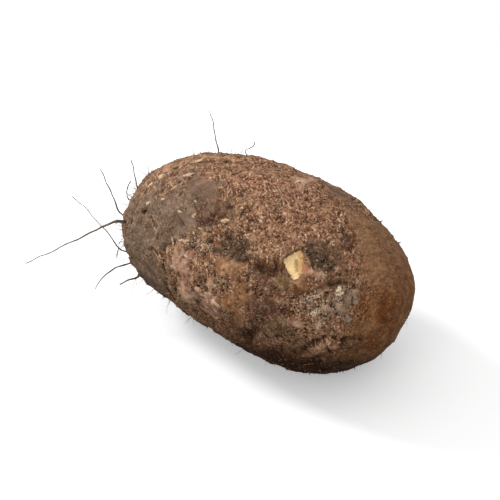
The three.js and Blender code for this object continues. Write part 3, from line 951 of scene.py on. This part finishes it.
def corkySkin():
    # yam skin: a corky brown bark, grown, rubbed in places, with dried soil on it. Dull and rough
    # with fine fibres, it throws almost no highlight; the tail is smoother and more orange, and
    # the broken spot shows cream flesh
    made = newMaterial("corkySkin")
    made.diffuse_color = linearColour("#7c5b46")
    tree = made.node_tree
    add = functools.partial(addNode, tree)
    times, fused, most = ({"operation": kind} for kind in ("MULTIPLY", "MULTIPLY_ADD", "MAXIMUM"))
    eased = {"interpolation_type": "SMOOTHSTEP"}
    place = add("TexCoord", output="Object")
    # name: cell in mm, turn about Z in degrees, stretch along X, stretch along Y and Z, detail,
    # roughness. Real bark fibres are 0.2 to 0.5 mm wide, too fine to show, so they are drawn coarser
    patterns = {
        "blotch": (24, 0, 1, 1, 4, 0.55),
        "patch": (8, 0, 1, 1, 5, 0.6),
        "mottle": (5, 0, 1, 1, 6, 0.7),
        "fibre": (0.95, 150, 3.2, 1, 2, 0.55),
        "fibreTwo": (0.95, 122, 2.8, 1, 2, 0.55),
        "ring": (1.0, 0, 1, 4.5, 4, 0.6),
        "grit": (0.8, 0, 1, 1, 2, 0.55),
        "wander": (3.2, 0, 1, 1, 4, 0.65),
        "chip": (1.5, 0, 1, 1, 3, 0.6),
    }
    noises = {}
    for name, (cell, turn, long, wide, detail, rough) in patterns.items():
        mapped = add("Mapping", {
            "Vector": place,
            "Rotation": (0, 0, math.radians(turn)),
            "Scale": (long, wide, wide),
            "Location": (cell, 2 * cell, 3 * cell),
        }, vector_type="TEXTURE")
        noises[name] = add("TexNoise", {
            "Vector": mapped,
            "Scale": 1 / (cell * mm),
            "Detail": detail,
            "Roughness": rough,
        })
    low = {
        name: add("MapRange", (noises[name], 0.50, 0.38), **eased)
        for name in ("patch", "mottle", "wander", "ring")
    }
    high = {
        name: add("MapRange", (noises[name], 0.52, 0.65), **eased)
        for name in ("blotch", "patch", "mottle", "wander", "ring", "grit")
    }
    held = {name: add("Attribute", output="Fac", attribute_name=name) for name in fields}

    # a patch's edge is broken up by two noises, which also leave islands of bark inside it
    coarseBreak = add("Math", (noises["wander"], 1.6, -0.8), **fused)
    broken = add("Math", (noises["grit"], 1.1, add("Math", (coarseBreak, -0.55), operation="ADD")), **fused)
    edges = {  # share of the breaking noise, then where the mask starts and ends
        "ashen": (0.6, 0.0, 1.0),
        "dusky": (0.8, 0.1, 0.9),
        "plum": (0.8, 0.1, 0.9),
        "umber": (0.5, 0.0, 0.9),
        "mud": (0.7, 0.0, 1.0),
        "amber": (1.1, 0.15, 0.95),
        "blush": (1.25, 0.15, 0.95),
        "worn": (1.0, 0.0, 1.1),
        "sienna": (0.6, 0.2, 0.7),
        "rub": (0.9, 0.45, 0.9),
        "cream": (1.6, 0.85, 1.2),
        "crust": (0.9, 0.1, 0.95),
        "tail": (1.0, 0.15, 1.15),
        "rust": (0.5, 0.0, 1.0),
        "under": (0.4, 0.0, 1.0),
    }
    zone = {}
    for name in (*skinTones, "rub", "cream", "under"):
        share, start, end = edges.get(name, (1.0, 0.35, 0.75))
        zone[name] = add("MapRange", (add("Math", (broken, share, held[name]), **fused), start, end), **eased)

    # groups of zones, each as strong as its strongest member
    groups = {
        "bare": ("tail", "amber", "blush", "sienna"),
        "dirtAndShade": ("mud", "hollow", "crust"),
        "dull": ("plum", "ashen", "dusky", "under", "umber"),
        "rounded": ("head", "warm"),
    }
    for group, (first, *others) in groups.items():
        zone[group] = zone[first]
        for name in others:
            zone[group] = add("Math", (zone[group], zone[name]), **most)
    thin = zone["worn"]  # where the fibres are thin or gone
    for group, share in (("bare", 0.9), ("dirtAndShade", 0.9), ("dull", 0.8), ("rounded", 0.5)):
        thin = add("Math", (thin, add("Math", (zone[group], share), **times)), **most)
    furry = add("Math", (1.0, thin), operation="SUBTRACT")
    choice = add("MapRange", (noises["patch"], 0.4, 0.6), **eased)
    fibres = add("Mix", {0: choice, 2: noises["fibre"], 3: noises["fibreTwo"]}, data_type="FLOAT")
    flecks = add("Math", (add("MapRange", (fibres, 0.53, 0.60), **eased), furry), **times)
    gaps = add("Math", (add("MapRange", (fibres, 0.47, 0.37), **eased), furry), **times)
    bright = add("Math", (flecks, add("MapRange", (noises["wander"], 0.44, 0.58), **eased)), **times)
    # painted shade darkens the narrow hollows, where soil also sits, and a painted highlight lightens the
    # narrow ridges, which are also rubbed paler; less on the tail and dull bark
    hollowShade = add("MapRange", (held["cavity"], 0.15, 0.9, 0, 0.75), **eased)
    raised = add("MapRange", (held["cavity"], -0.15, -0.9, 0, 0.5), **eased)
    flat = add("Math", (zone["tail"], add("Math", (zone["dull"], 0.8), **times)), **most)
    raised = add("Math", (raised, add("Math", (1.0, flat), operation="SUBTRACT")), **times)
    bend = add("TexNoise", {"Vector": place, "Scale": 1 / (2 * mm), "Detail": 3}, output="Color")
    bent = add("VectorMath", {0: bend, 1: (2.6 * mm,) * 3, 2: place}, **fused)
    dots = {  # cell in mm, then the distances from a cell's middle where its dot ends and fills
        "pit": (3.6, place, 0.24, 0.12),
        "speck": (1.6, bent, 0.42, 0.24),
    }
    dotted, chance = {}, {}
    for name, (size, vector, end, full) in dots.items():
        cells = add("TexVoronoi", {"Vector": vector, "Scale": 1 / (size * mm)}, output="Distance")
        dotted[name] = add("MapRange", (cells, end, full), **eased)
        chance[name] = cells.node.outputs["Color"]
    pit = add("Math", (dotted["pit"], add("MapRange", (chance["pit"], 0.5, 0.55), **eased)), **times)
    pit = add("Math", (pit, add("Math", (furry, 0.8, 0.2), **fused)), **times)
    soilAndShade = add("Math", (add("Math", (zone["mud"], zone["hollow"]), **most), 0.5), **times)
    speck = add("Math", (dotted["speck"], soilAndShade), **times)
    grain = add("Math", (zone["speckle"], 0.115, noises["chip"]), **fused)
    grain = add("MapRange", (grain, 0.715, 0.76), **eased)
    grain = add("Math", (grain, add("Math", (1.0, zone["bare"]), operation="SUBTRACT")), **times)
    tailDots = add("MapRange", (held["dots"], 0.25, 0.6), **eased)
    split = add("TexVoronoi", {"Vector": bent, "Scale": 1 / (4.6 * mm)}, feature="DISTANCE_TO_EDGE")
    crackWidth = add("MapRange", (noises["wander"], 0.5, 0.68, 0, 0.06), **eased)
    crack = add("Math", (crackWidth, split), operation="SUBTRACT")
    crack = add("MapRange", (crack, -0.01, 0.03), **eased)
    crack = add("Math", (crack, zone["crust"]), **times)
    # painted shade: the creases of the folds are darkened, broken up by grit noise
    foldShade = add("Math", (noises["grit"], 0.9, held["fold"]), **fused)
    foldShade = add("MapRange", (foldShade, 0.9, 1.8, 0, 0.55), **eased)
    ragged = add("Math", (noises["grit"], 2.0, -1.0), **fused)
    scarEdge = add("Math", (held["scar"], ragged), operation="ADD")
    flesh = add("MapRange", (scarEdge, 0.1, 0.7), **eased)
    rim = add("MapRange", (scarEdge, -1.3, 0.0, 0, 0.4), **eased)
    tailSide = add("Math", (noises["wander"], 4.0, held["scarSide"]), **fused)
    golden = add("MapRange", (tailSide, 1.6, 3.6, 0, 0.75), **eased)
    salmon = add("Math", (flesh, add("MapRange", (tailSide, 4.1, 5.1), **eased)), **times)
    # painted shade along the groove in the flesh, olive-dark
    grooveShade = add("Math", (ragged, 0.9, held["groove"]), **fused)
    grooveShade = add("MapRange", (grooveShade, 1.5, 0.2, 0, 0.65), **eased)
    cork = add("Math", (held["crown"], broken), operation="ADD")
    cork = add("MapRange", (cork, 0.4, 0.8, 0, 0.8), **eased)

    # coats of colour, each over the last: how strongly it covers, then the masks it is limited by
    coats = [
        ("#6a462f", 0.8, low["mottle"]),
        ("#ab7e5d", 0.8, high["mottle"]),
        ("#714e38", 0.6, high["blotch"]),
    ]
    for name, (cover, pattern, middle, dark, pale) in skinTones.items():
        coats.append((middle, cover, zone[name]))
        coats.append((dark, cover, zone[name], low[pattern]))
        coats.append((pale, cover, zone[name], high[pattern]))
    coats += [
        # painted light on the top of the tail
        ("#9a7557", 0.7, zone["tail"], held["tailTop"]),
        ("#b58b64", 0.4, zone["tail"], high["ring"]),
        ("#522e14", 0.42, zone["tail"], low["ring"]),
        ("#472917", 0.9, gaps),
        ("#d0a482", 0.85, flecks),
        ("#f0d2b4", 0.6, bright),
        ("#e5c09b", 0.6, flecks, zone["coarse"]),
        # painted shade in the narrow hollows, then a painted highlight on the narrow ridges
        ("#25160c", 1.0, hollowShade),
        ("#d2a783", 1.0, raised),
        # painted shade in the creases
        ("#3b2115", 1.0, foldShade),
        ("#1d100a", 0.9, pit),
        ("#6f3220", 0.85, dotted["speck"], tailDots),
        ("#1e130c", 0.75, speck),
        ("#f9e4c6", 0.92, grain),
        ("#e0bd98", 0.85, zone["rub"]),
        ("#d9c3b3", 0.8, zone["rub"], low["patch"]),
        ("#f7e2c2", 0.9, zone["cream"]),
        ("#cdb6a2", 0.45, zone["crust"], high["grit"]),
        ("#2c1e14", 0.9, crack),
        # painted shade over the underside
        ("#2a180c", 0.93, zone["under"]),
        ("#6b533f", 1.0, cork),
        ("#5c3921", 1.0, rim),
        ("#f7d49c", 1.0, flesh),
        ("#dbaf81", 0.5, flesh, high["wander"]),
        ("#dcaa6c", 1.0, flesh, golden),
        ("#b37d66", 0.9, salmon),
        ("#7f5140", 0.8, salmon, low["wander"]),
        # painted shade in the groove of the flesh
        ("#8d713a", 1.0, flesh, grooveShade),
    ]
    colour = add("RGB")
    colour.default_value = linearColour("#875f45")
    for hexCode, amount, *masks in coats:
        for mask in masks:
            amount = add("Math", (amount, mask), **times)
        colour = add("Mix", {0: amount, 6: colour, 7: linearColour(hexCode)}, output=2, data_type="RGBA")
    rough = add("Mix", {0: zone["bare"], 2: 0.9, 3: 0.7}, data_type="FLOAT")
    lift = add("Math", (flecks, 0.6, add("Math", (noises["grit"], 0.5), **times)), **fused)
    lift = add("Math", (noises["mottle"], 1.6, lift), **fused)
    for mask, share in ((gaps, -0.6), (grain, 0.6), (crack, -1.2), (pit, -0.8), (speck, -0.8)):
        lift = add("Math", (mask, share, lift), **fused)
    strength = add("MapRange", (zone["tail"], 0, 1, 1.0, 0.55))  # the tail is smoother
    bump = add("Bump", {"Height": lift, "Distance": 0.45 * mm, "Strength": strength})
    shader = add("BsdfPrincipled", {
        "Base Color": colour, "Roughness": rough, "Specular IOR Level": 0.06, "Normal": bump})
    add("OutputMaterial", {"Surface": shader})
    return made


def tintedMaterial(name, dark, pale, cell, roughness):
    # a dull dried stuff whose pieces run from a dark to a pale shade, mottled by a fine noise
    made = newMaterial(name)
    add = functools.partial(addNode, made.node_tree)
    place = add("TexCoord", output="Object")
    tint = add("Attribute", output="Fac", attribute_name="tint")
    mottle = add("TexNoise", {"Vector": place, "Scale": 1 / (cell * mm), "Detail": 3})
    lowered = add("Math", (tint, 0.6), operation="SUBTRACT")
    share = add("Math", (mottle, 1.2, lowered), operation="MULTIPLY_ADD", use_clamp=True)
    colour = add("Mix", {0: share, 6: linearColour(dark), 7: linearColour(pale)}, output=2, data_type="RGBA")
    bump = add("Bump", {"Height": mottle, "Distance": 0.15 * mm, "Strength": 0.6})
    shader = add("BsdfPrincipled", {
        "Base Color": colour, "Roughness": roughness, "Specular IOR Level": 0.25, "Normal": bump})
    add("OutputMaterial", {"Surface": shader})
    made.diffuse_color = linearColour(dark)
    return made


skinBark = corkySkin()
# shreds of the same bark: dead cork fibres, dry and dull, paler where they are rubbed
shredBark = tintedMaterial("barkShreds", "#6a4733", "#c99d7c", 1.5, 0.9)
# dried root bark: thin, wrinkled and wiry, dark brown with a greyer tip
rootBark = tintedMaterial("driedRootBark", "#46362a", "#7b6858", 2.0, 0.8)
# dried field soil: powdery grains from dark brown to pale grit
fieldSoil = tintedMaterial("driedSoil", "#45352a", "#e2c6a4", 3.0, 0.95)

for piece, material, slotName in (
    (tuber, skinBark, "skin"),
    (shreds, shredBark, "skin"),
    (crumbs, fieldSoil, "skin"),
    (stubs, rootBark, "root"),
    (hairs, rootBark, "root"),
    (rootlets, rootBark, "root"),
):
    piece.data.materials.append(material)
    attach(piece, "root")
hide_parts("tuber")
for name, piece in feederRoots.items():
    piece.data.materials.append(rootBark)
    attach(piece, "root")
    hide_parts(name)
print("materials given")


# floor, air, lamps and camera
studio = {
    "azimuth": 45,
    "elevation": 30,
    "distance": 1.05,
    "frameWidth": 0.262,  # what the picture spans at the object, in metres
    "aim": (-0.018, -0.006, 0.048),
    "floorSize": 8,
    "floorGlow": 0.25,
    "floorFade": (0.22, 0.45),
    "keyPower": 12.7,
    "keySize": 0.45,
    "keyPlace": (-1.15, -0.30, 0.85),
    "fillPower": 5.6,
    "fillSize": 0.9,
    "fillPlace": (0.40, -1.35, 0.60),
    "lampAim": (0, 0, 0.04),
    "airStrength": 0.69,
}


def makeFloor():
    # white paper that keeps the yam's shadow and fades to plain glowing white further off. Only
    # the camera sees it white: for other rays it is dark, so the yam's underside stays in shade
    half = studio["floorSize"] / 2
    corners = np.array([(-half, -half, 0), (half, -half, 0), (half, half, 0), (-half, half, 0)])
    floor = makePiece("floor", corners, [np.array([[0, 1, 2, 3]])])
    made = newMaterial("whitePaper")
    add = functools.partial(addNode, made.node_tree)
    rays = [add("LightPath", output=kind) for kind in ("Is Camera Ray", "Is Glossy Ray")]
    seen = add("Math", rays, operation="MAXIMUM")
    shown = add("Mix", {0: seen, 6: linearColour("#34312e"), 7: (1, 1, 1, 1)}, output=2, data_type="RGBA")
    lifted = add("Math", (seen, studio["floorGlow"]), operation="MULTIPLY")
    near = add("AddShader", (add("BsdfDiffuse", {"Color": shown}), add("Emission", {"Strength": lifted})))
    reach = add("VectorMath", (add("TexCoord", output="Object"),), output="Value", operation="LENGTH")
    away = add("MapRange", (reach, *studio["floorFade"]), interpolation_type="SMOOTHSTEP")
    plain = add("Math", (away, seen), operation="MULTIPLY")
    both = add("MixShader", (plain, near, add("Emission", {"Strength": 1.0})))
    add("OutputMaterial", {"Surface": both})
    floor.data.materials.append(made)


def makeAir():
    world.use_nodes = True
    world.node_tree.nodes.clear()
    add = functools.partial(addNode, world.node_tree)
    rays = [add("LightPath", output=kind) for kind in ("Is Camera Ray", "Is Transmission Ray")]
    seen = add("Math", rays, operation="MAXIMUM")
    strength = add("MapRange", {"Value": seen, "To Min": studio["airStrength"], "To Max": 1.0})
    add("OutputWorld", {"Surface": add("Background", {"Color": (1, 1, 1, 1), "Strength": strength})})


def makeLamp(name, place, power, size):
    lamp = bpy.data.lights.new(name, "AREA")
    lamp.energy = power
    lamp.shape = "DISK"
    lamp.size = size
    holder = bpy.data.objects.new(name, lamp)
    holder.location = place
    aim = Vector(studio["lampAim"]) - Vector(place)
    holder.rotation_euler = aim.to_track_quat("-Z", "Y").to_euler()
    bpy.context.scene.collection.objects.link(holder)


def makeCamera():
    turn = math.radians(studio["azimuth"])
    rise = math.radians(studio["elevation"])
    back = Vector((math.sin(turn) * math.cos(rise), -math.cos(turn) * math.cos(rise), math.sin(rise)))
    lens = bpy.data.cameras.new("camera")
    lens.sensor_width = 36
    lens.lens = lens.sensor_width * studio["distance"] / studio["frameWidth"]
    camera = bpy.data.objects.new("camera", lens)
    camera.location = Vector(studio["aim"]) + back * studio["distance"]
    camera.rotation_euler = (-back).to_track_quat("-Z", "Y").to_euler()
    bpy.context.scene.collection.objects.link(camera)
    bpy.context.scene.camera = camera


makeFloor()
makeAir()
makeLamp("overhead", studio["keyPlace"], studio["keyPower"], studio["keySize"])
makeLamp("front", studio["fillPlace"], studio["fillPower"], studio["fillSize"])
makeCamera()
bpy.context.scene.view_settings.view_transform = "Standard"
print("studio set")
